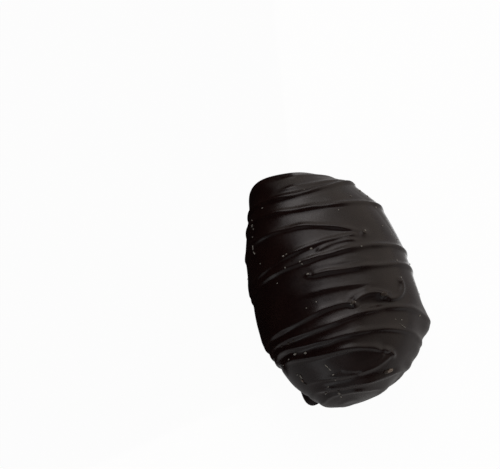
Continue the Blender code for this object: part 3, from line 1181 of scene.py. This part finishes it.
@dataclass
class Studio:
    """The pale floor, the room, the soft lights, the cards and the camera."""

    azimuth: float = 13.12
    elevation: float = 70.0
    distance: float = 450.0 * MM
    lens: float = 123.4
    sensor: float = 36.0
    aim_height: float = 12.0 * MM
    aim_pixel: Place = (341.5, 287.2)
    light_distance: float = 0.8
    floor_half: float = 3.0
    room_brightness: float = 0.62
    room_dark: float = 0.01
    room_bright_side: Direction = (0.8, 0.6, 0.0)
    room_side: Limits = (0.0, 0.85)
    room_top: Limits = (0.78, 0.97)
    ceiling_share: float = 0.3
    room_tint: Colour = (1.0, 0.93, 0.84)
    card_lift: float = 0.4 * MM
    card_colour: Colour = (0.01, 0.01, 0.01)
    floor_colour: Colour = (0.8, 0.8, 0.8)
    floor_roughness: float = 0.9
    floor_glow: float = 0.20
    floor_white: float = 0.72
    floor_strength: float = 1.05
    backdrop_strength: float = 1.0
    cards: tuple[Card, ...] = (
        Card("black_card", (
            (-19.0, -23.0), (-24.0, 8.0), (-20.0, 24.0), (-8.0, 38.0),
            (-10.0, 2900.0), (-2900.0, 2900.0), (-2900.0, -1050.0),
        ), shade=True),
        Card("grey_card", (
            (-19.0, -23.0), (-2900.0, -1050.0), (-2900.0, -2900.0), (-450.0, -2900.0), (-9.0, -32.0),
        ), glow=0.22),
        Card("white_card", (
            (14.0, -2.0), (23.0, -11.0), (28.0, 2.0), (29.0, 12.0),
            (27.0, 24.0), (20.0, 33.0), (8.0, 39.0), (0.0, 36.0),
        ), glow=1.3),
    )
    softboxes: tuple[Softbox, ...] = (
        Softbox("window", -10.0, 48.0, (0.35, 0.74), 1.08, (1.0, 0.96, 0.97)),
        Softbox("second window", 34.0, 65.0, (0.26, 0.36), 0.65, (1.0, 0.94, 0.91)),
        Softbox("low window", -8.0, 33.0, (0.16, 0.22), 0.80, (1.0, 0.96, 0.97)),
        Softbox("front left", 222.0, 10.0, (0.75, 0.32), 0.27, (0.98, 0.98, 1.0)),
        Softbox("front", 200.0, 18.0, (1.10, 0.34), 0.50, (0.95, 0.98, 1.0)),
        Softbox("upper front", 185.0, 50.0, (0.90, 0.45), 0.20, (1.0, 0.97, 0.97)),
    )

    def camera(self, shift: Vector) -> None:
        """Sets the camera at the photograph's viewing angle.

        Args:
            shift: How far the egg was moved to stand over the origin.
        """
        turn, rise = math.radians(self.azimuth), math.radians(self.elevation)
        level = math.cos(rise)
        back = Vector((-math.sin(turn) * level, -math.cos(turn) * level, math.sin(rise)))
        forward = -back
        right = forward.cross(UP).normalized()
        up = right.cross(forward)
        focal = self.lens / self.sensor * FRAME_WIDTH
        across = self.aim_pixel[0] - FRAME_WIDTH / 2
        down = self.aim_pixel[1] - FRAME_HEIGHT / 2
        aim = (forward * focal - right * across + up * down).normalized()
        data = bpy.data.cameras.new("camera")
        data.lens = self.lens
        data.sensor_width = self.sensor
        camera = put_in_scene("camera", data)
        camera.location = Vector((0, 0, self.aim_height)) + shift + back * self.distance
        camera.rotation_euler = aim.to_track_quat("-Z", "Y").to_euler()
        bpy.context.scene.camera = camera

    def floor(self) -> None:
        """Lays the pale floor, which the camera sees brighter than the egg does."""
        bm = bmesh.new()
        bmesh.ops.create_grid(bm, x_segments=1, y_segments=1, size=self.floor_half)
        floor = piece_from(bm, "floor")
        surface = bare_material(floor)
        tree = surface.id_data
        surface.inputs["Base Color"].default_value = (*self.floor_colour, 1.0)
        surface.inputs["Roughness"].default_value = self.floor_roughness
        surface.inputs["Specular IOR Level"].default_value = 0.0
        paper = tree.nodes.new("ShaderNodeEmission")
        paper.inputs["Color"].default_value = WHITE
        paper.inputs["Strength"].default_value = self.floor_strength
        path = tree.nodes.new("ShaderNodeLightPath")
        share = tree.nodes.new("ShaderNodeMath")
        share.operation = "MULTIPLY_ADD"
        share.inputs[1].default_value = self.floor_white
        share.inputs[2].default_value = self.floor_glow
        both = tree.nodes.new("ShaderNodeMixShader")
        tree.links.new(path.outputs["Is Camera Ray"], share.inputs[0])
        tree.links.new(share.outputs["Value"], both.inputs["Fac"])
        tree.links.new(surface.outputs["BSDF"], both.inputs[1])
        tree.links.new(paper.outputs["Emission"], both.inputs[2])
        tree.links.new(both.outputs["Shader"], tree.nodes["Material Output"].inputs["Surface"])

    def surroundings(self) -> None:
        """Sets the room: pale on the right, dark on the left, with a pale backdrop for the camera."""
        world = bpy.data.worlds.new("surroundings")
        world.use_nodes = True
        tree = world.node_tree
        room = tree.nodes["Background"]
        place = tree.nodes.new("ShaderNodeTexCoord")
        axes = tree.nodes.new("ShaderNodeSeparateXYZ")
        tree.links.new(place.outputs["Generated"], axes.inputs["Vector"])
        towards = tree.nodes.new("ShaderNodeVectorMath")
        towards.operation = "DOT_PRODUCT"
        towards.inputs[1].default_value = self.room_bright_side
        tree.links.new(place.outputs["Generated"], towards.inputs[0])
        glow = (self.room_dark, self.room_brightness)
        side = smooth_range(tree, towards.outputs["Value"], self.room_side, glow)
        overhead = smooth_range(tree, axes.outputs["Z"], self.room_top, (1.0, self.ceiling_share))
        strength = tree.nodes.new("ShaderNodeMath")
        strength.operation = "MULTIPLY"
        tree.links.new(side, strength.inputs[0])
        tree.links.new(overhead, strength.inputs[1])
        room.inputs["Color"].default_value = (*self.room_tint, 1.0)
        tree.links.new(strength.outputs["Value"], room.inputs["Strength"])
        backdrop = tree.nodes.new("ShaderNodeBackground")
        backdrop.inputs["Color"].default_value = WHITE
        backdrop.inputs["Strength"].default_value = self.backdrop_strength
        path = tree.nodes.new("ShaderNodeLightPath")
        both = tree.nodes.new("ShaderNodeMixShader")
        tree.links.new(path.outputs["Is Camera Ray"], both.inputs["Fac"])
        tree.links.new(room.outputs["Background"], both.inputs[1])
        tree.links.new(backdrop.outputs["Background"], both.inputs[2])
        tree.links.new(both.outputs["Shader"], tree.nodes["World Output"].inputs["Surface"])
        bpy.context.scene.world = world
        bpy.context.scene.view_settings.view_transform = "Standard"

    def build(self, shift: Vector) -> None:
        """Sets up the whole studio.

        Args:
            shift: How far the egg was moved to stand over the origin.
        """
        self.floor()
        self.surroundings()
        for card in self.cards:
            card.lay(self.card_lift, self.card_colour)
        for softbox in self.softboxes:
            softbox.hang(self.light_distance)
        self.camera(shift)


def main() -> None:
    """Builds the egg, its crumbs and the studio."""
    effects = Effects().make()
    dipped, crumbs = Coat(), Crumbs()
    coat, shift = dipped.build()
    dipped.dress(coat, effects)
    crumbs.dress(crumbs.build(coat, shift), effects)
    Studio().build(shift)


if __name__ == "__main__":
    logging.basicConfig(level=logging.INFO, format="%(message)s")
    main()
